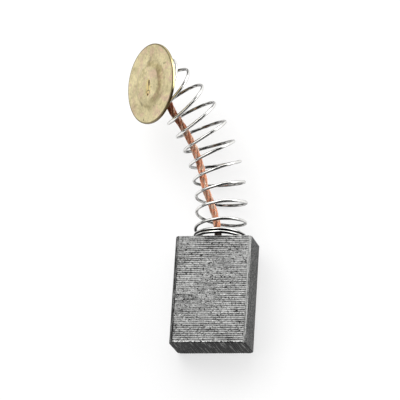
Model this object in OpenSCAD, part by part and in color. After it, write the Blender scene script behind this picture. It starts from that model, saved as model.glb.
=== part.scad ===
// Carbon brush for a small electric motor: a carbon block with its copper
// shunt tamped into a drilled hole, a compression spring round the shunt and
// a round brass terminal on the shunt's far end. The taut shunt keeps the
// spring bowed, and the brush lies on one long edge and its end coils.
//
// Millimetres. The origin is the centre of the wear face, +Y runs along the
// block towards the spring and +Z is up. Before the part is laid down, X is
// the block's width and Z its thickness.

/* [Carbon block] */
// Width of the block, across its broad faces
block_w = 10; // [8:0.1:16]
// Length of the block, from the wear face to the spring's seat
block_l = 14.2; // [9:0.1:30]
// Thickness of the block
block_t = 5.1; // [4.2:0.1:8]
// Chamfer along the four long edges
edge_chamfer = 0.35; // [0.1:0.05:0.8]
// Diameter of the hole that the shunt is tamped into
tamping_d = 2.4; // [1.8:0.1:3.2]
// Depth of that hole
tamping_depth = 5; // [2:0.5:7]

/* [Compression spring] */
// Diameter of the spring wire
wire_d = 0.4; // [0.3:0.02:0.6]
// Outside diameter of the coils
spring_od = 6.8; // [6:0.1:8]
// Number of open coils
open_coils = 9.15; // [7:0.05:10]
// Closed end coils on the block
block_end_coils = 1.7; // [1:0.1:2.5]
// Closed end coils under the terminal
terminal_end_coils = 1.5; // [1:0.1:2.5]
// Turn of the first open coil round the spring's axis, degrees
coil_phase = 205; // [0:5:360]
// Sideways play of the end coils on the block
seat_offset = 0.25; // [-0.5:0.05:0.5]

/* [Bow of the spring] */
// Straight stretch of the spring's axis from the block
straight_l = 3.3; // [2.5:0.1:5]
// Length of the spring's axis that is bowed
bow_l = 18.9; // [16:0.1:24]
// Turn of the spring's axis over the bow, degrees
bow_angle = 58.5; // [40:0.5:65]
// Direction of the bow, degrees above the block's left side
bow_direction = 43; // [20:1:70]
// Axis length over which the end coils tip towards the terminal
tipping_l = 0.8; // [0.4:0.1:2]
// Angle of the last end coil's axis to the block's length, degrees
end_coil_angle = 78; // [66:1:90]

/* [Terminal] */
// Diameter of the terminal disc
disc_d = 10.5; // [9:0.1:13]
// Thickness of the terminal disc
disc_t = 0.4; // [0.3:0.05:0.8]
// Diameter of the flat middle that is stamped up out of the disc
plateau_d = 5.2; // [4:0.1:5.6]
// How far the middle stands above the disc's face
plateau_h = 0.3; // [0.1:0.05:0.4]
// Outside diameter of the neck on the disc's back
neck_d = 2; // [1.8:0.1:2.6]
// Length of the neck
neck_l = 0.8; // [0.5:0.1:1.2]
// How far the neck sits from the disc's centre, towards the shunt's side
neck_offset = 0.5; // [0:0.05:0.8]
// Angle of the terminal's axis to the block's length, degrees
terminal_angle = 97; // [90:1:105]
// Sideways tilt of the terminal's axis, degrees
terminal_tilt = 5; // [-8:1:8]
// How far the terminal has slipped over the end coils towards the shunt
terminal_slip = 0.5; // [0:0.1:1]

/* [Shunt] */
// Diameter of the stranded shunt
shunt_d = 1; // [0.7:0.05:1.3]
// Axis length over which the shunt crosses from the hole to the coils' inside
crossing_l = 7.6; // [6:0.2:12]

/* [Fits] */
// Gap between the end coils and the pieces that they press on
seat_gap = 0.02; // [0.01:0.01:0.05]
// Gap between the shunt and the inside of the coils
coil_gap = 0.2; // [0.1:0.05:0.4]
// Radial gap between the shunt and the holes that hold it
crimp_gap = 0.01; // [0.01:0.01:0.05]

/* [Hidden] */

coil_r = (spring_od - wire_d) / 2;
overlap = 0.5;       // how far a cutter runs past the face that it cuts
plateau_ramp = 0.5;  // width of the slope round the stamped middle
rim_round = 0.1;     // bevel round the disc's face and back
root_gap = 0.5;      // powder left under the shunt's end in its hole
steps_per_coil = 24;
wire_sides = 8;
shunt_sides = 12;
shunt_step = 0.5;    // distance between the shunt's rings
small_step = 0.01;   // step over which a curve's direction is taken
$fn = 96;

// Roll about the block's length at which the chamfered left edge and the
// underside of the end coils both touch the table.
edge_x = block_w / 2 - edge_chamfer + seat_offset;
edge_z = block_t / 2;
edge_reach = sqrt(edge_x * edge_x + edge_z * edge_z);
rest_roll = max(0, atan2(edge_x, edge_z) - acos(min(1, spring_od / 2 / edge_reach)));

// The bow lies in one plane: its directions are the brush's length and bow_dir,
// and plane_normal stands on it.
length_dir = [0, 1, 0];
bow_dir = [-cos(bow_direction), 0, sin(bow_direction)];
plane_normal = cross(length_dir, bow_dir);

// Axis length at which each stretch of the spring's axis ends. The end coils
// on the block take the first of the straight stretch.
open_start = block_end_coils * wire_d + wire_d / 2 + seat_gap;
bow_start = straight_l;
bow_end = bow_start + bow_l;
open_end = bow_end + tipping_l;
spring_end = open_end + terminal_end_coils * wire_d;

function radians(a) = a * PI / 180;
function unit(v) = v / norm(v);
function ease(t) = let (u = min(1, max(0, t))) u * u * (3 - 2 * u);

// Angle of the spring's axis to the block's length, s along the axis.
function axis_angle(s) =
    s < bow_start ? 0 :
    s < bow_end ? bow_angle * (s - bow_start) / bow_l :
    s < open_end ? bow_angle + (end_coil_angle - bow_angle) * (s - bow_end) / tipping_l :
    end_coil_angle;

// A point [out, along] of the bow's plane, l further on an arc that turns
// from angle a0 to a1.
function arc_from(p, a0, a1, l, full_l) =
    let (r = full_l / radians(a1 - a0), a = a0 + (a1 - a0) * l / full_l)
    p + r * [cos(a0) - cos(a), sin(a) - sin(a0)];

bow_start_point = [0, bow_start];
bow_end_point = arc_from(bow_start_point, 0, bow_angle, bow_l, bow_l);
open_end_point = arc_from(bow_end_point, bow_angle, end_coil_angle, tipping_l, tipping_l);

function axis_point(s) =
    s < bow_start ? [0, s] :
    s < bow_end ? arc_from(bow_start_point, 0, bow_angle, s - bow_start, bow_l) :
    s < open_end ? arc_from(bow_end_point, bow_angle, end_coil_angle, s - bow_end, tipping_l) :
    open_end_point + (s - open_end) * [sin(end_coil_angle), cos(end_coil_angle)];

// From the bow's plane to the brush.
function in_brush(p) = [seat_offset, block_l, 0] + p[0] * bow_dir + p[1] * length_dir;
function tangent(s) = cos(axis_angle(s)) * length_dir + sin(axis_angle(s)) * bow_dir;
function inward(s) = cos(axis_angle(s)) * bow_dir - sin(axis_angle(s)) * length_dir;

// The wire's centre line, n in coils from the first open coil. The spring is
// wound right-handed.
function coil_axis_s(n) =
    n < 0 ? open_start + n * wire_d :
    n < open_coils ? open_start + (open_end - open_start) * n / open_coils :
    open_end + (n - open_coils) * wire_d;
function coil_radial(n) =
    let (a = coil_phase - 360 * n, s = coil_axis_s(n))
    cos(a) * plane_normal + sin(a) * inward(s);
function coil_point(n) = in_brush(axis_point(coil_axis_s(n))) + coil_r * coil_radial(n);

first_coil = -block_end_coils;
last_coil = open_coils + terminal_end_coils;
coil_steps = ceil((last_coil - first_coil) * steps_per_coil);
function coil_at(i) = first_coil + (last_coil - first_coil) * i / coil_steps;

// The terminal's axis points out of its face. It stands on the end coils at
// their highest point, and is slipped towards the inside of the bow.
terminal_axis =
    cos(terminal_tilt) * (cos(terminal_angle) * length_dir + sin(terminal_angle) * bow_dir)
    + sin(terminal_tilt) * plane_normal;
slip_dir = unit(cross(plane_normal, terminal_axis));
last_turn = [for (i = [0 : steps_per_coil]) coil_point(last_coil - i / steps_per_coil)];
seat_height = max([for (p = last_turn) p * terminal_axis]) + wire_d / 2 + seat_gap;
slipped = in_brush(axis_point(spring_end)) + terminal_slip * slip_dir;
terminal_back = slipped + (seat_height - slipped * terminal_axis) * terminal_axis;
neck_back = terminal_back + neck_offset * slip_dir;
neck_mouth = neck_back - neck_l * terminal_axis;

// The shunt: straight in the block, over to the inside of the coils, along
// them, and in one last bend into the neck.
shunt_reach = coil_r - wire_d / 2 - shunt_d / 2 - coil_gap;
crossing_start = 0.5;
hole_centre = [-seat_offset, 0, 0];
function shunt_out(s) = ease((s - crossing_start) / crossing_l);
function shunt_along(s) =
    in_brush(axis_point(s)) + shunt_out(s) * shunt_reach * inward(s) + (1 - shunt_out(s)) * hole_centre;
last_bend = 4.2;     // axis length left for the bend into the neck
bend_start_s = open_end - last_bend;
bend_start = shunt_along(bend_start_s);
bend_dir = unit(shunt_along(bend_start_s) - shunt_along(bend_start_s - small_step));
bend_pull = norm(neck_mouth - bend_start);
// Hermite curve from the coils' inside to the neck's mouth.
function bend_point(t) =
    let (t2 = t * t, t3 = t2 * t)
    (2 * t3 - 3 * t2 + 1) * bend_start + (t3 - 2 * t2 + t) * bend_pull * bend_dir
    + (3 * t2 - 2 * t3) * neck_mouth + (t3 - t2) * bend_pull * terminal_axis;
shunt_root = [0, block_l - tamping_depth + root_gap, 0];
shunt_tip = neck_back + (plateau_h - crimp_gap) * terminal_axis;
along_steps = ceil(bend_start_s / shunt_step);
bend_steps = ceil(bend_pull / shunt_step) + 2;
shunt_route = concat(
    [shunt_root],
    [for (i = [0 : along_steps]) shunt_along(bend_start_s * i / along_steps)],
    [for (i = [1 : bend_steps]) bend_point(i / bend_steps)],
    [shunt_tip]
);
shunt_last = len(shunt_route) - 1;
function shunt_tangent(i) =
    unit(shunt_route[min(i + 1, shunt_last)] - shunt_route[max(i - 1, 0)]);

// One ring of a tube round p, across dir, with side as its first direction.
function ring(p, dir, side, r, sides) =
    let (u = unit(side - (side * dir) * dir), v = cross(dir, u))
    [for (k = [0 : sides - 1]) let (a = 360 * k / sides) p + r * (cos(a) * u + sin(a) * v)];

// A closed tube over a list of rings.
module tube(rings, sides) {
    last = len(rings) - 1;
    points = [for (r = rings) each r];
    walls = [for (i = [0 : last - 1], k = [0 : sides - 1])
        let (a = i * sides + k, b = i * sides + (k + 1) % sides) [a, a + sides, b + sides, b]];
    start_cap = [[for (k = [0 : sides - 1]) k]];
    end_cap = [[for (k = [sides - 1 : -1 : 0]) last * sides + k]];
    polyhedron(points, concat(walls, start_cap, end_cap), convexity = 10);
}

// The brush as it comes to rest on a table.
module laid_down() {
    rotate([0, -rest_roll, 0]) children();
}

// Stands children on end in the block's spring seat, pointing into the block.
module in_seat() {
    translate([0, block_l, 0]) rotate([90, 0, 0]) children();
}

module carbon_block() {
    x = block_w / 2;
    z = block_t / 2;
    c = edge_chamfer;
    outline = [[x - c, -z], [x, -z + c], [x, z - c], [x - c, z],
               [-x + c, z], [-x, z - c], [-x, -z + c], [-x + c, -z]];
    color("dimgray") laid_down() difference() {
        in_seat() linear_extrude(block_l) polygon(outline);
        in_seat() translate([0, 0, -overlap]) cylinder(d = tamping_d, h = tamping_depth + overlap);
    }
}

// Tamped copper powder that holds the shunt in its hole.
module tamping_plug() {
    color("peru") laid_down() difference() {
        in_seat() cylinder(d = tamping_d, h = tamping_depth);
        in_seat() translate([0, 0, -overlap])
            cylinder(r = shunt_d / 2 + crimp_gap, h = tamping_depth - root_gap + crimp_gap + overlap);
    }
}

module shunt() {
    rings = [for (i = [0 : shunt_last])
        ring(shunt_route[i], shunt_tangent(i), plane_normal, shunt_d / 2, shunt_sides)];
    color("sienna") laid_down() tube(rings, shunt_sides);
}

module compression_spring() {
    rings = [for (i = [0 : coil_steps])
        let (n = coil_at(i), dir = unit(coil_point(n + small_step) - coil_point(n - small_step)))
        ring(coil_point(n), dir, coil_radial(n), wire_d / 2, wire_sides)];
    color("silver") laid_down() tube(rings, wire_sides);
}

// Stands children on the terminal's axis, at a point of it.
module on_terminal(point) {
    tip = acos(terminal_axis[2]);
    heading = atan2(terminal_axis[1], terminal_axis[0]);
    translate(point) rotate([0, tip, heading]) children();
}

// The sheet disc, with its back at z = 0 round the stamped middle. The hollow
// on the back is narrower than the middle, so the end coil bears on flat sheet.
module stamped_disc() {
    rim = disc_d / 2;
    flat = plateau_d / 2;
    face = disc_t + plateau_h;
    rotate_extrude() polygon([
        [0, plateau_h], [flat - plateau_ramp, plateau_h], [flat, 0],
        [rim - rim_round, 0], [rim, rim_round],
        [rim, disc_t - rim_round], [rim - rim_round, disc_t],
        [flat + plateau_ramp, disc_t], [flat, face], [0, face]
    ]);
}

module terminal_disc() {
    color("burlywood") laid_down() difference() {
        union() {
            on_terminal(terminal_back) stamped_disc();
            on_terminal(neck_mouth) cylinder(d = neck_d, h = neck_l + plateau_h + disc_t / 2);
        }
        on_terminal(neck_mouth - overlap * terminal_axis)
            cylinder(r = shunt_d / 2 + crimp_gap, h = overlap + neck_l + plateau_h);
    }
}

carbon_block();
tamping_plug();
shunt();
compression_spring();
terminal_disc();
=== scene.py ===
# A carbon brush lying on a pale floor: its block, tamping, shunt, spring and
# terminal. Sizes are in millimetres, as the part's source names them; pieces
# are made in metres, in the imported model's frame.
import math

import bmesh
import bpy
from mathutils import Matrix, Vector, noise


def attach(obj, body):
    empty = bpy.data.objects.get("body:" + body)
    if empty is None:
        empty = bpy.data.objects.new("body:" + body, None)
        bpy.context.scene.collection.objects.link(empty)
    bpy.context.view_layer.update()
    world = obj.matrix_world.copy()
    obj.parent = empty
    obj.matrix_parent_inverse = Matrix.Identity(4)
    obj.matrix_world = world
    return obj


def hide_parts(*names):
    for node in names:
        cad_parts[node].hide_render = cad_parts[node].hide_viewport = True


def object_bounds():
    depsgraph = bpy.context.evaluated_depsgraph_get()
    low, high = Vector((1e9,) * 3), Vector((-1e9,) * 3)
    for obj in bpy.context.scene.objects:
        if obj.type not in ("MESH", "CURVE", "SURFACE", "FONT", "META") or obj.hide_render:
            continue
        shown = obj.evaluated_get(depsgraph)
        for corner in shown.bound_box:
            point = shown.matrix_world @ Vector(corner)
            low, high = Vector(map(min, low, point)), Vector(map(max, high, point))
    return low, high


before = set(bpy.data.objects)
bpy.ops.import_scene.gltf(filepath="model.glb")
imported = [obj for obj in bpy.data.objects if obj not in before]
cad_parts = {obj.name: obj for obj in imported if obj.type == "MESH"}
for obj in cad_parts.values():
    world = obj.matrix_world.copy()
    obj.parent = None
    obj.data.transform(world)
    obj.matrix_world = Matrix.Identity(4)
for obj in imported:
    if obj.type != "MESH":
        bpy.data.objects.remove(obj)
cad_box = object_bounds()

MM = 0.001

BLOCK_W, BLOCK_L, BLOCK_T = 10.0, 14.2, 5.1
EDGE_CHAMFER = 0.35
TAMPING_D, TAMPING_DEPTH = 2.4, 5.0
WIRE_D, SPRING_OD = 0.4, 6.8
OPEN_COILS, BLOCK_END_COILS, TERMINAL_END_COILS = 9.15, 1.7, 1.5
COIL_PHASE, SEAT_OFFSET = 205.0, 0.25
STRAIGHT_L, BOW_L, BOW_ANGLE, BOW_DIRECTION = 3.3, 18.9, 58.5, 43.0
TIPPING_L, END_COIL_ANGLE = 0.8, 78.0
DISC_D, DISC_T, RIM_ROUND = 10.5, 0.4, 0.1
PLATEAU_D, PLATEAU_H, PLATEAU_RAMP = 5.2, 0.3, 0.5
NECK_D, NECK_L, NECK_OFFSET = 2.0, 0.8, 0.5
TERMINAL_ANGLE, TERMINAL_TILT, TERMINAL_SLIP = 97.0, 5.0, 0.5
SHUNT_D, CROSSING_START, CROSSING_L, LAST_BEND = 1.0, 0.5, 7.6, 4.2
SEAT_GAP, COIL_GAP, CRIMP_GAP, ROOT_GAP = 0.02, 0.2, 0.01, 0.5

COIL_R = (SPRING_OD - WIRE_D) / 2
RIM_R = DISC_D / 2 - 0.032  # the rounded rim stays inside the solid's bevelled one
FACE_SINK = 0.012           # and so does the disc's rippled face
GRIND_PITCH, SAW_PITCH = 0.262, 0.27  # of the ground lines and the saw's ribs
HOLE_SIDES, STEPS_A_COIL = 96, 60
STRAND_D, STRAND_CENTRE, BUNDLE_CENTRE = 0.12, 0.113, 0.315
STRAND_LAY, BUNDLE_LAY = 3.2, 8.5
TO_MM = (1 / MM, 1 / MM, 1 / MM)

rad = math.radians
TURN = 2 * math.pi


# ---------------------------------------------------------------- lie and bow

edge_x = BLOCK_W / 2 - EDGE_CHAMFER + SEAT_OFFSET
edge_z = BLOCK_T / 2
REST_ROLL = math.atan2(edge_x, edge_z) - math.acos(SPRING_OD / 2 / math.hypot(edge_x, edge_z))
LAID_DOWN = Matrix.Rotation(-REST_ROLL, 4, "Y") @ Matrix.Scale(MM, 4)


def laid(points):
    """Points of the brush, in millimetres, as they lie on the floor, in metres."""
    return [LAID_DOWN @ Vector(p) for p in points]


length_dir = Vector((0, 1, 0))
bow_dir = Vector((-math.cos(rad(BOW_DIRECTION)), 0, math.sin(rad(BOW_DIRECTION))))
plane_normal = length_dir.cross(bow_dir)

OPEN_START = BLOCK_END_COILS * WIRE_D + WIRE_D / 2 + SEAT_GAP
BOW_END = STRAIGHT_L + BOW_L
OPEN_END = BOW_END + TIPPING_L
SPRING_END = OPEN_END + TERMINAL_END_COILS * WIRE_D


def ease(t):
    """Goes smoothly from 0 to 1."""
    t = min(1.0, max(0.0, t))
    return t * t * (3 - 2 * t)


def axis_angle(s):
    """How far the spring's axis has turned from the block's length, s along it."""
    if s < BOW_END:
        return BOW_ANGLE * max(0.0, s - STRAIGHT_L) / BOW_L
    tipped = (s - BOW_END) / TIPPING_L
    return min(END_COIL_ANGLE, BOW_ANGLE + (END_COIL_ANGLE - BOW_ANGLE) * tipped)


def arc(start, a0, a1, run, full):
    """Point a run along an arc that turns from a0 to a1 over its full length."""
    r = full / rad(a1 - a0)
    a = a0 + (a1 - a0) * run / full
    return Vector((start[0] + r * (math.cos(rad(a0)) - math.cos(rad(a))),
                   start[1] + r * (math.sin(rad(a)) - math.sin(rad(a0)))))


bow_end_point = arc((0, STRAIGHT_L), 0, BOW_ANGLE, BOW_L, BOW_L)
open_end_point = arc(bow_end_point, BOW_ANGLE, END_COIL_ANGLE, TIPPING_L, TIPPING_L)


def axis_point(s):
    """Point of the spring's axis in the brush, s along it from the block."""
    if s < STRAIGHT_L:
        p = Vector((0, s))
    elif s < BOW_END:
        p = arc((0, STRAIGHT_L), 0, BOW_ANGLE, s - STRAIGHT_L, BOW_L)
    elif s < OPEN_END:
        p = arc(bow_end_point, BOW_ANGLE, END_COIL_ANGLE, s - BOW_END, TIPPING_L)
    else:
        end = rad(END_COIL_ANGLE)
        p = open_end_point + (s - OPEN_END) * Vector((math.sin(end), math.cos(end)))
    return Vector((SEAT_OFFSET, BLOCK_L, 0)) + p[0] * bow_dir + p[1] * length_dir


def inward(s):
    """Direction from the spring's axis to the inside of its bow."""
    a = rad(axis_angle(s))
    return math.cos(a) * bow_dir - math.sin(a) * length_dir


def coil_point(n):
    """Centre of the spring wire, n in coils from the first open one."""
    if n < 0:
        s = OPEN_START + n * WIRE_D
    elif n < OPEN_COILS:
        s = OPEN_START + (OPEN_END - OPEN_START) * n / OPEN_COILS
    else:
        s = OPEN_END + (n - OPEN_COILS) * WIRE_D
    a = rad(COIL_PHASE - 360 * n)
    return axis_point(s) + COIL_R * (math.cos(a) * plane_normal + math.sin(a) * inward(s))


LAST_COIL = OPEN_COILS + TERMINAL_END_COILS
tilt, turn = rad(TERMINAL_TILT), rad(TERMINAL_ANGLE)
terminal_axis = (math.cos(tilt) * (math.cos(turn) * length_dir + math.sin(turn) * bow_dir)
                 + math.sin(tilt) * plane_normal)
slip_dir = plane_normal.cross(terminal_axis).normalized()
seat_height = (max(coil_point(LAST_COIL - i / 24).dot(terminal_axis) for i in range(25))
               + WIRE_D / 2 + SEAT_GAP)
slipped = axis_point(SPRING_END) + TERMINAL_SLIP * slip_dir
terminal_back = slipped + (seat_height - slipped.dot(terminal_axis)) * terminal_axis
neck_back = terminal_back + NECK_OFFSET * slip_dir
neck_mouth = neck_back - NECK_L * terminal_axis

SHUNT_REACH = COIL_R - WIRE_D / 2 - SHUNT_D / 2 - COIL_GAP


def shunt_along(s):
    """Point of the shunt inside the spring, as it crosses to the inside of the bow."""
    over = ease((s - CROSSING_START) / CROSSING_L)
    to_hole = Vector((-SEAT_OFFSET, 0, 0))
    return axis_point(s) + over * SHUNT_REACH * inward(s) + (1 - over) * to_hole


def shunt_route():
    """The shunt's centre line, from its root in the block to its tip in the neck."""
    bend_s, steps, bend_steps = OPEN_END - LAST_BEND, 90, 30
    start = shunt_along(bend_s)
    start_dir = (start - shunt_along(bend_s - 0.01)).normalized()
    pull = (neck_mouth - start).length
    points = [Vector((0, BLOCK_L - TAMPING_DEPTH + ROOT_GAP, 0)), Vector((0, BLOCK_L - 1.5, 0))]
    points += [shunt_along(bend_s * i / steps) for i in range(steps + 1)]
    for i in range(1, bend_steps + 1):
        t = i / bend_steps
        points.append((2 * t**3 - 3 * t**2 + 1) * start + (t**3 - 2 * t**2 + t) * pull * start_dir
                      + (3 * t**2 - 2 * t**3) * neck_mouth + (t**3 - t**2) * pull * terminal_axis)
    points.append(neck_back + (PLATEAU_H - CRIMP_GAP) * terminal_axis)
    return points


# ------------------------------------------------------------- node trees

class Link:
    """A socket of a node tree. Operators add the maths nodes."""

    def __init__(self, tree, socket):
        self.tree, self.socket = tree, socket

    def _maths(self, operation, *values):
        return self.tree.node("ShaderNodeMath", {"operation": operation}, dict(enumerate(values)))

    def _vector(self, operation, *values):
        out = "Value" if operation in ("DOT_PRODUCT", "LENGTH") else "Vector"
        return self.tree.node("ShaderNodeVectorMath", {"operation": operation},
                              dict(enumerate(values)), out)

    @property
    def is_vector(self):
        return self.socket.type == "VECTOR"

    def __add__(self, other):
        return (self._vector if self.is_vector else self._maths)("ADD", self, other)

    def __sub__(self, other):
        return (self._vector if self.is_vector else self._maths)("SUBTRACT", self, other)

    def __rsub__(self, other):
        return self._maths("SUBTRACT", other, self)

    def __mul__(self, other):
        by_vector = isinstance(other, Link) and other.is_vector
        if not self.is_vector:
            return other * self if by_vector else self._maths("MULTIPLY", self, other)
        if by_vector:
            return self._vector("MULTIPLY", self, other)
        return self.tree.node("ShaderNodeVectorMath", {"operation": "SCALE"},
                              {0: self, 3: other}, "Vector")

    def __truediv__(self, other):
        return self._maths("DIVIDE", self, other)

    __radd__, __rmul__ = __add__, __mul__

    def sin(self):
        return self._maths("SINE", self)

    def cos(self):
        return self._maths("COSINE", self)

    def size(self):
        """The number without its sign."""
        return self._maths("ABSOLUTE", self)

    def low(self, other):
        """The lower of two numbers."""
        return self._maths("MINIMUM", self, other)

    def high(self, other):
        """The higher of two numbers."""
        return self._maths("MAXIMUM", self, other)

    def cross(self, other):
        return self._vector("CROSS_PRODUCT", self, other)

    def dot(self, other):
        return self._vector("DOT_PRODUCT", self, other)

    def length(self):
        return self._vector("LENGTH", self)

    def rise(self, start, end, low=0.0, high=1.0):
        """Goes smoothly from low at start to high at end."""
        if start > end:
            start, end, low, high = end, start, high, low
        return self.tree.node("ShaderNodeMapRange", {"interpolation_type": "SMOOTHSTEP"},
                              {"Value": self, "From Min": start, "From Max": end,
                               "To Min": low, "To Max": high})


class Tree:
    """A node tree being written."""

    def __init__(self, tree):
        self.nodes, self.links = tree.nodes, tree.links

    def node(self, kind, settings=None, values=None, out=0):
        """Adds a node: its settings first, then its sockets' values or links."""
        made = self.nodes.new(kind)
        for name, value in (settings or {}).items():
            setattr(made, name, value)
        for name, value in (values or {}).items():
            if isinstance(value, Link):
                value = value.socket
            if isinstance(value, bpy.types.NodeSocket):
                self.links.new(value, made.inputs[name])
            else:
                made.inputs[name].default_value = value
        return Link(self, made.outputs[out]) if len(made.outputs) else made

    def outs(self, link, *names):
        """Other outputs of the node that a link comes from."""
        return [Link(self, link.socket.node.outputs[n]) for n in names]

    def parts(self, vector, *names):
        """The named parts of a vector, of X, Y and Z."""
        return self.outs(self.node("ShaderNodeSeparateXYZ", {}, {0: vector}), *names)

    def kept(self, name, out="Fac"):
        """A measure that a piece's mesh keeps."""
        return self.node("ShaderNodeAttribute", {"attribute_name": name}, out=out)


def grey(value):
    return (value, value, value, 1.0)


class Finish(Tree):
    """A material under way, with what its patterns are drawn from."""

    def __init__(self, name):
        self.material = bpy.data.materials.new(name)
        self.material.use_nodes = True
        super().__init__(self.material.node_tree)
        self.nodes.clear()
        self.place = self.node("ShaderNodeTexCoord", out="Object")

    def in_brush(self):
        """Millimetres along the block's own width, length and thickness."""
        return self.node("ShaderNodeMapping", {}, {
            "Vector": self.place, "Rotation": (0, REST_ROLL, 0), "Scale": TO_MM})

    def noise(self, where, stretch, detail=3.0, rough=0.55, seed=0.0):
        """Noise with stretch as its rate along each axis; a seed is a shift."""
        where = self.node("ShaderNodeMapping", {}, {
            "Vector": where, "Scale": stretch, "Location": (seed, seed * 1.7, seed * 0.6)})
        return self.node("ShaderNodeTexNoise", {"noise_dimensions": "3D"}, {
            "Vector": where, "Scale": 1.0, "Detail": detail, "Roughness": rough})

    def mix(self, share, a, b):
        """Colour a turning to colour b."""
        return self.node("ShaderNodeMix", {"data_type": "RGBA"},
                         {0: share, 6: a, 7: b}, 2)

    def tint(self, colour, by):
        """A colour made lighter or darker by a plain number."""
        return self.node("ShaderNodeMix", {"data_type": "RGBA", "blend_type": "MULTIPLY"},
                         {0: 1.0, 6: colour, 7: by}, 2)

    def bump(self, height, depth):
        """A bump as deep as depth, in millimetres, where the height goes from 0 to 1."""
        return self.node("ShaderNodeBump", {}, {
            "Height": height, "Distance": depth * MM, "Strength": 1.0})

    def surface(self, **values):
        """Ends the material in a surface with the values of its named sockets."""
        made = self.node("ShaderNodeBsdfPrincipled", {},
                         {k.replace("_", " "): v for k, v in values.items()})
        self.node("ShaderNodeOutputMaterial", {}, {"Surface": made})
        return self.material


# ------------------------------------------------------------- finishes

def carbon_finish():
    """Pressed graphite: ground across its broad faces, sawn at its wear end."""
    f = Finish("carbon")
    at = f.in_brush()
    x, y = f.parts(at, "X", "Y")
    graphite = (0.235, 0.236, 0.232, 1)

    # Where each surface is: the narrow sides, the bevels and the sawn wear end.
    past = x.size() + x.rise(-1.0, 1.0, 0.2, 0.0) - (BLOCK_W / 2 - EDGE_CHAMFER)
    side = past.rise(EDGE_CHAMFER - 0.07, EDGE_CHAMFER - 0.01)
    bevel = past.rise(-0.03, 0.05) * (1 - side)
    worn = y.rise(0.03, 0.08, 1.0, 0.0)

    waver = f.noise(at, (0.25, 0.25, 0.25), 2.0)
    lines = (y * (TURN / GRIND_PITCH) + waver * 3).sin() * 0.5 + 0.5
    drag = f.noise(at, (0.5, 3.2, 0.5), 4.0, 0.65).rise(0.34, 0.66)
    grain = f.noise(at, (5.0, 5.0, 5.0), 3.0, 0.7, 1.3).rise(0.3, 0.7)
    dust_and_painted_dark = f.noise(at, (2.0, 3.6, 2.0), 4.0, 0.7, 17.0).rise(0.56, 0.7)
    streaks = f.noise(at, (6.0, 0.4, 6.0), 4.0, 0.65, 3.1).rise(0.34, 0.66)
    sawn = f.noise(at, (4.5, 4.5, 0.2), 4.0, 0.7, 5.3).rise(0.4, 0.66)
    cloud = f.noise(at, (0.3, 0.55, 0.3), 3.0, 0.55, 8.0).rise(0.3, 0.7)
    pits = f.noise(at, (4.2, 5.2, 4.2), 2.0, 0.5, 11.0).rise(0.6, 0.65)
    chips = f.noise(at, (3.4, 2.2, 3.4), 2.0, 0.6, 14.0)

    # Each face's tone, from dark at 0 to bright at 1.
    ground = lines * 1.9 + drag * 0.9 + grain * 1.2 + dust_and_painted_dark * 1.0 + cloud * 0.3 - pits * 1.8 - 1.1
    # Painted highlight: bright flecks in a row along the broken edge by the wear end, with a
    # painted dark line of shade right at that edge.
    broken = y.rise(0.1, 0.14) * y.rise(0.18, 0.28, 1.0, 0.0) * chips.rise(0.44, 0.54)
    ground = ground + broken * 4.0 - y.rise(0.09, 0.13, 1.6, 0.0)
    # The narrow sides' tone: streaks and grain, set darker than the broad faces as painted shade.
    plain = streaks * 0.6 + grain * 1.0 + dust_and_painted_dark * 0.6 - 0.78
    # The bevels' tone: rubbed streaks, with the left bevel painted darker than the right, a painted
    # shade.
    rubbed_with_painted_shading = streaks * 2.4 + grain * 1.2 + x.rise(-1.0, 1.0, -2.0, -0.55)
    # The sawn wear end's tone: its saw marks, set dark as painted shade on the end turned from the
    # light.
    sawn_tone_and_shade = sawn * 2.4 + grain * 0.9 - 1.7
    tone = ground * (1 - side) * (1 - bevel) + plain * side + rubbed_with_painted_shading * bevel
    tone = tone * (1 - worn) + sawn_tone_and_shade * worn
    # The wear end is painted darker again here, as painted shade.
    colour = f.tint(graphite, (tone * 0.88 + 0.24 - worn * 0.18).high(0.03))
    relief = ((lines * 0.5 + drag * 0.5) * (1 - side) + streaks * 0.4 * side + grain * 0.5
              + sawn * worn - pits * 0.8)
    return f.surface(Base_Color=colour, Metallic=0.25, Roughness=0.6 - dust_and_painted_dark * 0.15,
                     Specular_IOR_Level=0.25, Normal=f.bump(relief, 0.03))


def tamping_finish():
    """Pressed copper powder, darkened with graphite."""
    f = Finish("tamping_powder")
    at = f.in_brush()
    dark_powder, bright_grains = (0.16, 0.09, 0.06, 1), (0.62, 0.3, 0.17, 1)
    grain = f.noise(at, (9.0, 9.0, 9.0), 3.0, 0.7)
    glints = f.noise(at, (14.0, 14.0, 14.0), 1.0, 0.5, 4.0).rise(0.6, 0.7)
    colour = f.mix(glints, f.tint(dark_powder, grain.rise(0.2, 0.8, 0.5, 1.4)), bright_grains)
    return f.surface(Base_Color=colour, Metallic=glints * 0.6 + 0.25, Roughness=0.6,
                     Normal=f.bump(grain + glints * 0.4, 0.05))


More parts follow.
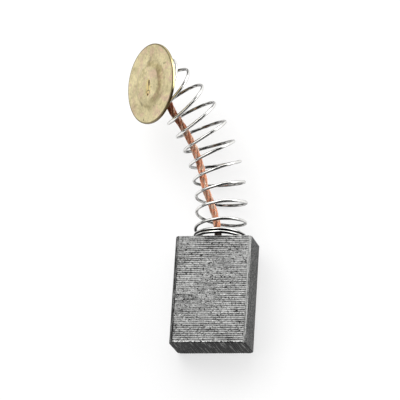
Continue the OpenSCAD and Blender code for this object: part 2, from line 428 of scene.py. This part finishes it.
def copper_finish():
    """Copper strands, browned in the lays between them, with painted highlights, and painted shade
    near the terminal, under the disc.
    """
    f = Finish("copper_strand")
    way, depth = f.kept("way"), f.kept("depth")
    at = f.node("ShaderNodeMapping", {}, {"Vector": f.place, "Scale": TO_MM})
    copper, painted_highlight_copper = (1.0, 0.46, 0.27, 1), (1.0, 0.75, 0.58, 1)
    oxide_and_shade, powder = (0.24, 0.055, 0.02, 1), (0.02, 0.017, 0.015, 1)
    patch = f.noise(at, (0.9, 0.9, 0.9), 3.0, 0.6)
    # Painted highlights: pale bright copper in patches.
    painted_highlight_patches = f.noise(at, (2.2, 1.1, 2.2), 2.0, 0.5, 9.0).rise(0.5, 0.62)
    fine = f.noise(at, (6.0, 6.0, 6.0), 2.0, 0.6, 2.0)
    # Browning in random patches and in the lays between strands, and painted shade near the
    # terminal, under the disc.
    browning_and_shade = (patch.rise(0.45, 0.7) * 0.4 + way.rise(17.5, 22.0) * (1 - painted_highlight_patches * 0.5) * 0.75
             + depth.rise(0.25, 0.6, 0.55, 0.0)).low(0.95)
    colour = f.mix(painted_highlight_patches, copper, painted_highlight_copper)
    colour = f.mix(browning_and_shade, f.tint(colour, fine.rise(0.2, 0.8, 0.75, 1.1)), oxide_and_shade)
    # Painted shade: near black from the root to just past the end coils, in the gap between them
    # and the block.
    colour = f.mix(way.rise(5.75, 6.7, 0.97, 0.0), colour, powder)
    return f.surface(Base_Color=colour, Metallic=0.55, Roughness=browning_and_shade * 0.1 + 0.27)


def spring_finish():
    """Drawn steel wire, steel-bright outside the coil and painted dark elsewhere: a painted
    reflection.
    """
    f = Finish("spring_steel")
    way, outer, blockward = f.kept("way"), f.kept("outer"), f.kept("blockward")
    painted_dark_reflection, steel, dust_and_painted_dark = (0.055, 0.052, 0.048, 1), (0.96, 0.955, 0.93, 1), grey(0.02)
    turned = f.kept("turn") * TURN
    at = f.node("ShaderNodeCombineXYZ", {}, {
        0: turned.cos() * 3.0, 1: turned.sin() * 3.0, 2: way * 0.25})
    drawn = f.noise(at, (2.2, 2.2, 1.0), 3.0, 0.6)
    spots = f.noise(at, (0.5, 0.5, 3.0), 2.0, 0.6, 7.0)
    # Painted reflection: the wire's outer side shows bright steel and the rest is painted dark, for
    # the dark lines it reflects; bright patches break the dark up.
    rubbed_with_painted_shading = (outer + (spots - 0.5) * 1.4).rise(0.5, 0.85)
    patches = f.noise(at, (0.6, 0.6, 4.0), 2.0, 0.6, 3.0).rise(0.44, 0.56)
    # Painted shade and painted dark reflection: near black on the end coils' side to the block and
    # on the left of the first open coil.
    painted_shade_and_reflection = (blockward + outer * 0.25).rise(0.1, 0.5) * way.rise(3.0, 9.0, 1.0, 0.0)
    first_left = way.rise(4.0, 5.5) * way.rise(12.0, 15.0, 1.0, 0.0)
    painted_shade_and_reflection = painted_shade_and_reflection.high(first_left * outer.rise(0.3, 0.8, 0.8, 0.2))
    colour = f.mix(rubbed_with_painted_shading.high(patches * 0.6), painted_dark_reflection, steel)
    colour = f.mix(painted_shade_and_reflection * 0.95, colour, dust_and_painted_dark)
    colour = f.tint(colour, drawn.rise(0.25, 0.75, 0.8, 1.06))
    return f.surface(Base_Color=colour, Metallic=1.0, Roughness=spots.rise(0.35, 0.8, 0.08, 0.2),
                     Specular_Tint=grey(0.8), Normal=f.bump(drawn, 0.003))


def brass_finish():
    """Dull stamped brass sheet, handled, with some tarnishing and painted shade round its raised
    middle.
    """
    f = Finish("brass_sheet")
    at, worked = f.kept("on_disc", "Vector"), f.kept("worked")
    down, over, height = f.parts(at, "X", "Y", "Z")
    out = at.length()
    brass, dull_brass = (0.80, 0.70, 0.415, 1), (0.66, 0.575, 0.335, 1)
    pink_bloom, olive_tarnish_and_shade = (0.70, 0.48, 0.37, 1), (0.32, 0.255, 0.105, 1)
    pressed, cut_brown = (0.88, 0.66, 0.22, 1), (0.09, 0.045, 0.012, 1)
    painted_wall_highlight, painted_wall_shade = (0.95, 0.83, 0.42, 1), (0.10, 0.06, 0.02, 1)
    grime_and_rim_shade = (0.13, 0.10, 0.04, 1)
    cloud = f.noise(at, (0.5, 0.5, 0.5), 3.0, 0.6)
    bloom = f.noise(at, (0.6, 0.6, 0.6), 3.0, 0.6, 6.0)
    stain = f.noise(at, (0.8, 0.8, 0.8), 4.0, 0.65, 15.0)
    fine = f.noise(at, (3.6, 3.6, 3.6), 4.0, 0.7, 2.0)
    specks = f.noise(at, (2.2, 2.2, 2.2), 2.0, 0.5, 9.0).rise(0.68, 0.74)

    def spot(at_down, at_over, r):
        far = (down - at_down) * (down - at_down) + (over - at_over) * (over - at_over)
        return far.rise(0.3 * r * r, 1.8 * r * r, 1.0, 0.0)

    # The raised middle's foot and slope, and the rim's edge and outer wall.
    # Painted shade round the raised middle: a thin dark line at its foot, stronger on one side, and
    # dark on one side of its slope.
    foot = out.rise(2.75, 2.95) * out.rise(3.05, 3.3, 1.0, 0.0) * over.rise(-2.5, 0.5, 1.0, 0.25)
    slope = out.rise(2.1, 2.4) * out.rise(2.7, 3.0, 1.0, 0.0) * over.rise(-0.6, 1.2)
    rim = out.rise(RIM_R - 0.22, RIM_R - 0.1) * height.rise(0.28, 0.36)
    wall = out.rise(RIM_R - 0.06, RIM_R - 0.02) * height.rise(0.28, 0.36, 1.0, 0.0)
    ring = out.rise(2.0, 2.5) * out.rise(2.9, 3.4, 1.0, 0.0) * stain.rise(0.38, 0.58)
    # Stains and a ring of tarnishing, with the painted shade of the foot and the slope.
    tarnish_and_painted_shade = (stain.rise(0.5, 0.72) * 0.4 + slope * 0.2 + foot * 0.35 + ring * 0.3).low(0.75)
    bloomed = bloom.rise(0.48, 0.62, 0.0, 0.65) * over.rise(-1.0, 2.5, 0.7, 1.0)
    dented = worked.rise(0.05, 0.22) * worked.rise(0.3, 0.5, 0.55, 0.0)
    marks = spot(-1.82, 3.34, 0.15).high(spot(4.37, -1.89, 0.15))
    marks = marks.high(spot(-3.18, 0.22, 0.35) * 0.6).high(spot(2.23, -2.05, 0.3) * 0.7)
    # Painted highlight and painted shade on the rim's outer wall: bright yellow on most of it, dark
    # where it turns away from the light on two sides.
    wall_shade_sides = down.rise(1.6, 2.2).high(down.rise(-2.4, -1.4, 0.7, 0.0))

    colour = f.mix(cloud.rise(0.36, 0.66), brass, dull_brass)
    colour = f.mix(bloomed, colour, pink_bloom)
    colour = f.mix(tarnish_and_painted_shade, colour, olive_tarnish_and_shade)
    colour = f.tint(colour, fine.rise(0.25, 0.75, 0.82, 1.13))
    colour = f.mix(dented, colour, pressed)
    colour = f.mix(worked.rise(0.3, 0.6, 0.0, 0.92), colour, cut_brown)
    # Grime in specks and marks, and painted shade in a thin dark line round the face's edge.
    colour = f.mix(specks.high(marks) * 0.6 + rim * 0.85 * (1 - specks), colour, grime_and_rim_shade)
    colour = f.mix(wall, colour, f.mix(wall_shade_sides, painted_wall_highlight, painted_wall_shade))
    rough = (cloud.rise(0.3, 0.8, 0.38, 0.5) + slope * 0.25) * (1 - wall * 0.5)
    return f.surface(Base_Color=colour, Metallic=0.85, Roughness=rough,
                     Normal=f.bump(fine * 0.7 + cloud * 1.5 + stain, 0.02))


# ------------------------------------------------------------- meshes

def put(name, data):
    """A new object of the scene."""
    made = bpy.data.objects.new(name, data)
    bpy.context.scene.collection.objects.link(made)
    return made


def piece(name, points, faces, finish, sharp=40.0):
    """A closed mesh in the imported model's frame, from points of the brush."""
    mesh = bpy.data.meshes.new(name)
    mesh.from_pydata(laid(points), [], faces)
    outward = bmesh.new()
    outward.from_mesh(mesh)
    bmesh.ops.recalc_face_normals(outward, faces=outward.faces)
    outward.to_mesh(mesh)
    outward.free()
    mesh.shade_smooth()
    mesh.set_sharp_from_angle(angle=rad(sharp))
    mesh.materials.append(finish)
    return put(name, mesh)


def walls(rings):
    """The points of a list of equal rings, and the faces from each ring to the next."""
    count = len(rings[0])
    points = [p for ring in rings for p in ring]
    faces = [(i * count + k, i * count + (k + 1) % count,
              (i + 1) * count + (k + 1) % count, (i + 1) * count + k)
             for i in range(len(rings) - 1) for k in range(count)]
    return points, faces


def skin(rings, start=None, end=None):
    """Walls over a list of equal rings, with a point or a flat face at each end."""
    count = len(rings[0])
    points, faces = walls(rings)
    for tip, first in ((start, 0), (end, (len(rings) - 1) * count)):
        if tip is None:
            faces.append(tuple(range(first, first + count)))
        else:
            points.append(tip)
            faces += [(first + k, first + (k + 1) % count, len(points) - 1) for k in range(count)]
    return points, faces


def circle(r, y):
    """Points round the middle of the tamping hole."""
    return [Vector((r * math.cos(TURN * k / HOLE_SIDES), y, r * math.sin(TURN * k / HOLE_SIDES)))
            for k in range(HOLE_SIDES)]


def carbon_block(finish):
    """The block: chamfered, with worn edges, a sawn wear end and the tamping hole."""
    half_w, half_t = BLOCK_W / 2, BLOCK_T / 2
    edge, edge_steps, steps = 0.05, 6, 260
    xs = [-half_w + edge * i / edge_steps for i in range(edge_steps)]
    xs += [-half_w + edge + (BLOCK_W - 2 * edge) * i / steps for i in range(steps + 1)]
    xs += [half_w - edge + edge * i / edge_steps for i in range(1, edge_steps + 1)]

    def half_height(x):
        """Half the block's thickness at x, falling softly over the bevel."""
        out, soft, corner = abs(x) - (half_w - EDGE_CHAMFER), 0.06, 0.08
        fall = 0.5 * (out + math.sqrt(out * out + soft * soft))
        rounded = 0.12 * ease((abs(x) - half_w + corner) / corner)
        return half_t - min(EDGE_CHAMFER + 0.3, fall) - rounded

    def saw_mark(x):
        """Depth of the saw's marks in the wear end."""
        rib = 0.5 + 0.5 * math.sin(TURN * x / SAW_PITCH + 2.5 * noise.noise((x * 0.5, 2, 0)))
        return max(0.0, 0.045 * rib * (0.6 + 0.6 * noise.noise((x * 1.3, 0, 5))))

    def wear(x, side, end):
        """How far an edge is broken back there."""
        chip = noise.noise((x * 2.6, 7.0 * side, 3.0 * end))
        chip += 0.5 * noise.noise((x * 7, side, 9 * end))
        return 0.05 + 0.07 * max(0.0, chip)

    def ring(y, inset, marked):
        """Points round the block at y; inset is the share of the edges' wear."""
        points = []
        for side in (1, -1):
            for x in (xs if side > 0 else xs[::-1]):
                worn = inset * wear(x, side, 1 if y < BLOCK_L / 2 else 2)
                depth = y + (saw_mark(x) if marked else 0.0)
                points.append(Vector((x * (1 - worn / half_w), depth,
                                      side * (half_height(x) - worn))))
        return points

    near, deep, half_worn, lengths = 0.035, 0.1, 0.45, 12
    rings = [ring(0.0, 1.0, True), ring(near, half_worn, True), ring(deep, 0.0, False)]
    rings += [ring(deep + (BLOCK_L - 2 * deep) * i / lengths, 0.0, False)
              for i in range(1, lengths + 1)]
    rings += [ring(BLOCK_L - near, half_worn, False), ring(BLOCK_L, 1.0, False)]
    points, faces = walls(rings)
    count = len(rings[0])
    faces += [(k, k + 1, count - 2 - k, count - 1 - k) for k in range(len(xs) - 1)]

    # The back end is filled between its rim and the mouth of the tamping hole.
    made = bmesh.new()
    verts = [made.verts.new(p) for p in points]
    for face in faces:
        made.faces.new([verts[k] for k in face])
    hole_r = TAMPING_D / 2
    hole = [[made.verts.new(p) for p in circle(r, BLOCK_L - depth)]
            for r, depth in ((hole_r + 0.05, 0.0), (hole_r, 0.06), (hole_r, TAMPING_DEPTH))]
    for outer, inner in zip(hole, hole[1:]):
        for k in range(HOLE_SIDES):
            after = (k + 1) % HOLE_SIDES
            made.faces.new([outer[k], outer[after], inner[after], inner[k]])
    made.faces.new(hole[-1])
    edges = [made.edges.get((loop[k], loop[(k + 1) % len(loop)]))
             for loop in (verts[-count:], hole[0]) for k in range(len(loop))]
    bmesh.ops.triangle_fill(made, use_beauty=True, edges=edges)
    made.verts.index_update()
    points = [v.co.copy() for v in made.verts]
    faces = [[v.index for v in f.verts] for f in made.faces]
    made.free()
    return piece("carbon_block_ground", points, faces, finish, 28.0)


def tamping_plug(finish):
    """The pressed powder round the shunt, uneven on top."""
    def top(r):
        points = circle(r, BLOCK_L)
        for p in points:
            lump = noise.noise((p.x * 3, p.z * 3, 1)) + 0.6 * noise.noise((p.x * 8, p.z * 8, 4))
            p.y -= 0.06 + 0.05 * lump
        return points

    outer, inner, steps = TAMPING_D / 2 - 0.01, SHUNT_D / 2 + CRIMP_GAP, 8
    floor = BLOCK_L - TAMPING_DEPTH
    rings = [circle(inner, floor + ROOT_GAP), circle(inner, BLOCK_L - 0.15)]
    rings += [top(inner + (outer - inner) * i / steps) for i in range(steps + 1)]
    rings += [circle(outer, BLOCK_L - 0.3), circle(outer, floor + 0.01)]
    points, faces = skin(rings, Vector((0, floor + ROOT_GAP, 0)))
    return piece("tamping_powder", points, faces, finish)


def terminal(finish):
    """The stamped brass disc: raised middle, pressed crimp mark, rolled rim and neck."""
    across = terminal_axis.cross(slip_dir)
    sides, mark_r = 240, 1.35
    mark_rings, face_rings, back_rings = 45, 56, 24

    def edge(a):
        """From the neck's axis to the disc's edge, in direction a."""
        return (-NECK_OFFSET * math.cos(a)
                + math.sqrt(RIM_R * RIM_R - (NECK_OFFSET * math.sin(a)) ** 2))

    def blot(down, over, half_down, half_over):
        """1 in a long round blot about a point and 0 outside it, with a soft edge."""
        return math.exp(-((down / half_down) ** 2 + (over / half_over) ** 2) ** 2)

    def mark(down, over):
        """Depth of the crimp's mark and how far it is worked there."""
        dimple = math.exp(-((down / 1.15) ** 2 + ((over + 0.1) / 0.62) ** 2) ** 1.5)
        slit = blot(down + 0.57, over + 0.12 * down, 0.38, 0.19)
        eye = math.exp(-((math.hypot((down - 0.66) / 0.8, over + 0.2) - 0.33) / 0.12) ** 2)
        drop = blot(down - 0.93, over + 0.34, 0.16, 0.14)
        stem = 0.6 * blot(down - 0.05, over + 0.08, 0.3, 0.09)
        depth = 0.05 * dimple + 0.14 * slit + 0.04 * eye + 0.05 * stem + 0.05 * drop
        work = 0.22 * dimple + 0.95 * slit + 0.33 * eye + 0.4 * stem + 0.7 * drop
        return depth, min(1.0, work)

    def face_height(down, over):
        """Height of the face, with the raised middle and the crimp's mark."""
        r = math.hypot(down + NECK_OFFSET, over)
        up = ease(1 - (r - PLATEAU_D / 2 + 0.25) / (PLATEAU_RAMP + 0.5))
        ripple = 0.012 * noise.noise((down * 0.6, over * 0.6, 2.0)) * (1 - ease((r - 4.4) / 0.5))
        return DISC_T + PLATEAU_H * up + ripple - FACE_SINK - mark(down, over)[0]

    def back_height(down, over):
        """Height of the back, hollow under the raised middle."""
        r = math.hypot(down + NECK_OFFSET, over)
        return PLATEAU_H * ease(1 - (r - PLATEAU_D / 2 + PLATEAU_RAMP) / PLATEAU_RAMP)

    def ring(reach, height):
        """Points round the neck's axis; its reach and height may be functions."""
        points = []
        for k in range(sides):
            a = TURN * k / sides
            r = reach(a) if callable(reach) else reach
            down, over = r * math.cos(a), r * math.sin(a)
            h = height(down, over) if callable(height) else height
            points.append(neck_back + down * slip_dir + over * across + h * terminal_axis)
        return points

    def spread(r, share):
        """A reach that goes from a circle of radius r to the disc's edge."""
        return lambda a: r + (edge(a) - r) * share

    def rounding(steps):
        """Steps round a quarter turn: 1 less the sine and 1 less the cosine of each angle."""
        return [(1 - math.sin(rad(90 / steps * i)), 1 - math.cos(rad(90 / steps * i)))
                for i in range(steps + 1)]

    neck_r, bore_r = NECK_D / 2, SHUNT_D / 2 + CRIMP_GAP
    fillet, lip, bore_edge, bore_end = 0.15, 0.12, 0.05, PLATEAU_H - 0.02
    rings = [ring(mark_r / mark_rings * i, face_height) for i in range(1, mark_rings + 1)]
    rings += [ring(spread(mark_r, i / face_rings * (1 - RIM_ROUND / 4)), face_height)
              for i in range(1, face_rings + 1)]
    rings += [ring(lambda a: edge(a) - RIM_ROUND * out, DISC_T - RIM_ROUND * fall - FACE_SINK)
              for out, fall in rounding(6)]
    rings += [ring(lambda a: edge(a) - RIM_ROUND * out, RIM_ROUND * rise)
              for rise, out in rounding(6)]
    rings += [ring(spread(neck_r + fillet, 1 - i / back_rings), back_height)
              for i in range(1, back_rings)]
    rings += [ring(neck_r + fillet * out, PLATEAU_H - fillet * fall) for out, fall in rounding(5)]
    rings += [ring(neck_r - lip * out, -NECK_L + lip * rise) for rise, out in rounding(5)]
    rings += [ring(bore_r + bore_edge, -NECK_L), ring(bore_r, -NECK_L + bore_edge),
              ring(bore_r, bore_end)]
    points, faces = skin(rings, neck_back + face_height(0, 0) * terminal_axis,
                         neck_back + bore_end * terminal_axis)
    made = piece("brass_terminal", points, faces, finish, 50.0)
    worked = made.data.attributes.new("worked", "FLOAT", "POINT")
    on_disc = made.data.attributes.new("on_disc", "FLOAT_VECTOR", "POINT")
    face_middle = len(points) - 2
    for i, p in enumerate(points):
        away = p - terminal_back
        down, over = away.dot(slip_dir), away.dot(across)
        on_disc.data[i].vector = (down, over, away.dot(terminal_axis))
        if i < mark_rings * sides or i == face_middle:
            worked.data[i].value = mark(down - NECK_OFFSET, over)[1]
    return made


# ------------------------------------------------------------- wire and strands

def polyline(name, points):
    """A path for a piece to grow along."""
    mesh = bpy.data.meshes.new(name)
    mesh.from_pydata(laid(points), [(i, i + 1) for i in range(len(points) - 1)], [])
    return put(name, mesh)


def grow(name, path, build, sizes, finish):
    """Grows a piece along a path with a geometry tree, and returns it as a plain mesh."""
    group = bpy.data.node_groups.new(name, "GeometryNodeTree")
    group.interface.new_socket("Path", in_out="INPUT", socket_type="NodeSocketGeometry")
    for label, value in sizes.items():
        kind = "NodeSocketInt" if isinstance(value, int) else "NodeSocketFloat"
        group.interface.new_socket(label, in_out="INPUT", socket_type=kind)
    group.interface.new_socket("Geometry", in_out="OUTPUT", socket_type="NodeSocketGeometry")
    t = Tree(group)
    given = t.node("NodeGroupInput")
    inputs = {label: t.outs(given, label)[0] for label in ["Path", *sizes]}
    grown = build(t, inputs)
    grown = t.node("GeometryNodeSetShadeSmooth", {}, {"Geometry": grown})
    grown = t.node("GeometryNodeRealizeInstances", {}, {"Geometry": grown})
    grown = t.node("GeometryNodeSetMaterial", {}, {"Geometry": grown, "Material": finish})
    t.node("NodeGroupOutput", {}, {"Geometry": grown})

    modifier = path.modifiers.new(name, "NODES")
    modifier.node_group = group
    for item in group.interface.items_tree:
        if item.in_out == "INPUT" and item.name in sizes:
            modifier[item.identifier] = sizes[item.name]
    evaluated = path.evaluated_get(bpy.context.evaluated_depsgraph_get())
    mesh = bpy.data.meshes.new_from_object(evaluated)
    path.modifiers.remove(modifier)
    bpy.data.objects.remove(path)
    mesh.name = name
    return put(name, mesh)


def keep(t, geometry, name, value, kind="FLOAT"):
    """Keeps a measure on the mesh, for its finish or a later step."""
    return t.node("GeometryNodeStoreNamedAttribute", {"data_type": kind, "domain": "POINT"},
                  {"Geometry": geometry, "Name": name, "Value": value})


def sweep(t, curve, radius, sides):
    """A round wire along a curve, which keeps the turn round the wire."""
    circle = t.node("GeometryNodeCurvePrimitiveCircle", {}, {"Resolution": sides, "Radius": radius},
                    "Curve")
    circle = keep(t, circle, "turn", t.node("GeometryNodeSplineParameter", out="Factor"))
    return t.node("GeometryNodeCurveToMesh", {},
                  {"Curve": curve, "Profile Curve": circle, "Fill Caps": True})


def coil(t, size):
    """The spring's wire: a helix round the bowed axis, closed up at both ends."""
    axis = t.node("GeometryNodeMeshToCurve", {}, {"Mesh": size["Path"]})
    steps = size["Steps"]
    wire = t.node("GeometryNodeMeshLine", {}, {"Count": steps + 1.0})
    wire = t.node("GeometryNodeMeshToCurve", {}, {"Mesh": wire})
    index = t.node("GeometryNodeInputIndex")
    all_coils = size["Coils"] + size["First end coils"] + size["Last end coils"]
    n = index / steps * all_coils - size["First end coils"]
    closed = n.low(0.0) + (n - size["Coils"]).high(0.0)
    opened = n.high(0.0).low(size["Coils"])
    reach = size["Start"] + closed * size["Wire radius"] * 2.0 + opened * size["Pitch"]
    sample = t.node("GeometryNodeSampleCurve", {"mode": "LENGTH", "data_type": "FLOAT"},
                    {"Curves": axis, "Length": reach}, "Position")
    tangent = t.outs(sample, "Tangent")[0]
    side = t.node("FunctionNodeInputVector", {"vector": laid([plane_normal])[0] / MM})
    turn = size["Phase"] - n * TURN
    radial = side * turn.cos() + side.cross(tangent) * turn.sin()
    wire = t.node("GeometryNodeSetPosition", {},
                  {"Geometry": wire, "Position": sample + radial * size["Coil radius"]})
    wire = keep(t, wire, "way", n * (TURN * COIL_R))
    wire = keep(t, wire, "radial", radial, "FLOAT_VECTOR")
    wire = sweep(t, wire, size["Wire radius"], size["Sides"])
    radial = t.node("GeometryNodeInputNamedAttribute", {"data_type": "FLOAT_VECTOR"},
                    {"Name": "radial"})
    normal = t.node("GeometryNodeInputNormal")
    to_block = t.node("FunctionNodeInputVector", {"vector": (0.0, -1.0, 0.0)})
    wire = keep(t, wire, "blockward", normal.dot(to_block))
    return keep(t, wire, "outer", radial.dot(normal))


def rope(t, size):
    """The shunt: bundles of fine strands laid round a middle bundle."""
    path = t.node("GeometryNodeMeshToCurve", {}, {"Mesh": size["Path"]})
    path = t.node("GeometryNodeResampleCurve", {"mode": "COUNT"},
                  {"Curve": path, "Count": size["Steps"]})
    path = t.node("GeometryNodeSetCurveNormal", {"mode": "MINIMUM_TWIST"}, {"Curve": path})
    many = t.node("GeometryNodeDuplicateElements", {"domain": "SPLINE"},
                  {"Geometry": path, "Amount": size["Strands"]}, "Geometry")
    which = t.outs(many, "Duplicate Index")[0]
    bundle = t.node("ShaderNodeMath", {"operation": "FLOOR"}, {0: which / size["Strands a bundle"]})
    strand = which - bundle * size["Strands a bundle"]
    along = t.node("GeometryNodeSplineParameter", out="Length")
    tangent = t.node("GeometryNodeInputTangent")
    normal = t.node("GeometryNodeInputNormal")
    other = tangent.cross(normal)
    stray = t.node("FunctionNodeRandomValue", {"data_type": "FLOAT"},
                   {2: -1.0, 3: 1.0, "ID": which, "Seed": 7}, 1)
    slack = t.node("ShaderNodeTexNoise", {"noise_dimensions": "4D"},
                   {"Vector": t.node("GeometryNodeInputPosition") * 420.0, "W": bundle * 3.7,
                    "Scale": 1.0, "Detail": 1.0})
    swing = (slack - 0.5) * 0.9
    lay = bundle * (TURN / 6) + along * TURN / size["Bundle lay"] + swing
    twist = strand * (TURN / 6) + along * TURN / size["Strand lay"] + stray * 0.3
    # The seventh bundle, and the seventh strand of each bundle, runs in the middle.
    bundle_out = (6.0 - bundle).low(1.0) * size["Bundle centre"]
    strand_out = (6.0 - strand).low(1.0) * size["Strand centre"]
    a = bundle_out * lay.cos() + strand_out * twist.cos()
    b = bundle_out * lay.sin() + strand_out * twist.sin()
    depth = (a * a + b * b) / (size["Outside"] * size["Outside"])
    many = keep(t, many, "depth", depth)
    many = keep(t, many, "way", along / MM)
    many = t.node("GeometryNodeSetPosition", {}, {
        "Geometry": many, "Offset": normal * a + other * b})
    return sweep(t, many, size["Strand radius"], size["Sides"])


def spring_wire(finish):
    """The compression spring, from the block to the terminal."""
    count, length = 600, SPRING_END + WIRE_D
    axis = polyline("spring_axis", [axis_point(length * i / count) for i in range(count + 1)])
    coils = BLOCK_END_COILS + OPEN_COILS + TERMINAL_END_COILS
    return grow("spring_wire", axis, coil, {
        "Steps": round(coils * STEPS_A_COIL), "Sides": 14, "Coils": OPEN_COILS,
        "First end coils": BLOCK_END_COILS, "Last end coils": TERMINAL_END_COILS,
        "Start": OPEN_START * MM, "Pitch": (OPEN_END - OPEN_START) / OPEN_COILS * MM,
        "Coil radius": COIL_R * MM, "Wire radius": WIRE_D / 2 * MM,
        "Phase": rad(COIL_PHASE)}, finish)


def shunt_strands(finish):
    """The shunt: seven bundles of seven strands, from the tamping to the crimp."""
    return grow("shunt_strands", polyline("shunt_path", shunt_route()), rope, {
        "Steps": 230, "Sides": 5, "Strands": 49, "Strands a bundle": 7,
        "Bundle lay": BUNDLE_LAY * MM, "Strand lay": STRAND_LAY * MM,
        "Bundle centre": BUNDLE_CENTRE * MM, "Strand centre": STRAND_CENTRE * MM,
        "Outside": SHUNT_D / 2 * MM, "Strand radius": STRAND_D / 2 * MM}, finish)


# ------------------------------------------------------------- studio

def floor_finish():
    """A pale floor that shows white, and still takes the brush's soft shadow."""
    f = Finish("pale_floor")
    rays = f.node("ShaderNodeLightPath", out="Is Camera Ray")
    glossy, through = f.outs(rays, "Is Glossy Ray", "Is Transmission Ray")
    seen = rays.high(glossy).high(through)
    white_share = 0.66
    lit = f.node("ShaderNodeBsdfDiffuse", {}, {"Color": grey(0.95)})
    glow = f.node("ShaderNodeEmission", {}, {"Color": grey(1.0), "Strength": 1.0})
    both = f.node("ShaderNodeMixShader", {}, {0: seen * white_share, 1: lit, 2: glow})
    f.node("ShaderNodeOutputMaterial", {}, {"Surface": both})
    return f.material


def soft_box(name, place, size, power, aim):
    """A soft light turned to the brush, with its place and size in metres, power in watts."""
    light = bpy.data.lights.new(name, "AREA")
    light.shape, light.size, light.size_y = "RECTANGLE", size[0], size[1]
    light.energy = power
    made = put(name, light)
    made.location = place
    made.rotation_euler = (Vector(place) - aim).to_track_quat("Z", "Y").to_euler()
    return made


def studio():
    """The floor, the lights, the world and the view."""
    low, high = (Vector(v) for v in cad_box)
    middle, half = (low + high) / 2, 0.6
    mesh = bpy.data.meshes.new("floor")
    mesh.from_pydata([(-half, -half, low.z), (half, -half, low.z), (half, half, low.z),
                      (-half, half, low.z)], [], [(0, 1, 2, 3)])
    mesh.materials.append(floor_finish())
    floor = put("floor", mesh)

    soft_box("left_light", (-0.2, 0.31, 0.43), (0.36, 0.3), 0.7, middle)
    overhead = soft_box("overhead_light", (-0.08, 0.2, 0.34), (0.5, 0.45), 1.05, middle)
    overhead.visible_glossy = False

    # A dim world with a bright patch to the left, and a brighter one low behind the brush.
    world = bpy.data.worlds.new("studio")
    bpy.context.scene.world = world
    world.use_nodes = True
    world.node_tree.nodes.clear()
    t = Tree(world.node_tree)
    way = t.node("ShaderNodeTexCoord", out="Generated")
    x, y, z = t.parts(way, "X", "Y", "Z")
    left = x.rise(-0.4, -0.15, 1.0, 0.0) * y.rise(-0.7, -0.4) * z.rise(0.1, 0.5)
    behind = (x * 0.6 + y * 0.8).rise(0.3, 0.6) * z.rise(0.5, 0.7, 1.0, 0.0) * z.rise(-0.1, 0.2)
    level = (left * 1.3).high(behind * 2.6) + 0.04
    seen = t.node("ShaderNodeLightPath", out="Is Camera Ray")
    level = level * (1 - seen) + seen
    sky = t.node("ShaderNodeBackground", {}, {"Color": grey(1.0), "Strength": level})
    t.node("ShaderNodeOutputWorld", {}, {"Surface": sky})

    view = put("view", bpy.data.cameras.new("view"))
    view.data.lens, view.data.sensor_width = 270.0, 36.0
    view.data.clip_start, view.data.clip_end = 0.01, 5.0
    aim = middle + Vector((1.345, -0.71, 0.279)) * MM
    around, above, roll, away = rad(12.211), rad(71.45), rad(-9.221), 382.48
    back = Vector((math.cos(above) * math.sin(around), -math.cos(above) * math.cos(around),
                   math.sin(above)))
    right = Vector((math.cos(around), math.sin(around), 0))
    right.rotate(Matrix.Rotation(roll, 3, back))
    view.matrix_world = Matrix((right, back.cross(right), back)).transposed().to_4x4()
    view.matrix_world.translation = aim + back * away * MM
    bpy.context.scene.camera = view
    bpy.context.scene.view_settings.view_transform = "Standard"


# ------------------------------------------------------------- the brush

studio()
for node, slot, made in (
        ("carbon_block", "carbon", carbon_block(carbon_finish())),
        ("tamping_plug", "tamping_powder", tamping_plug(tamping_finish())),
        ("shunt", "copper_strand", shunt_strands(copper_finish())),
        ("compression_spring", "spring_steel", spring_wire(spring_finish())),
        ("terminal_disc", "brass_sheet", terminal(brass_finish()))):
    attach(made, "root")
    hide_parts(node)
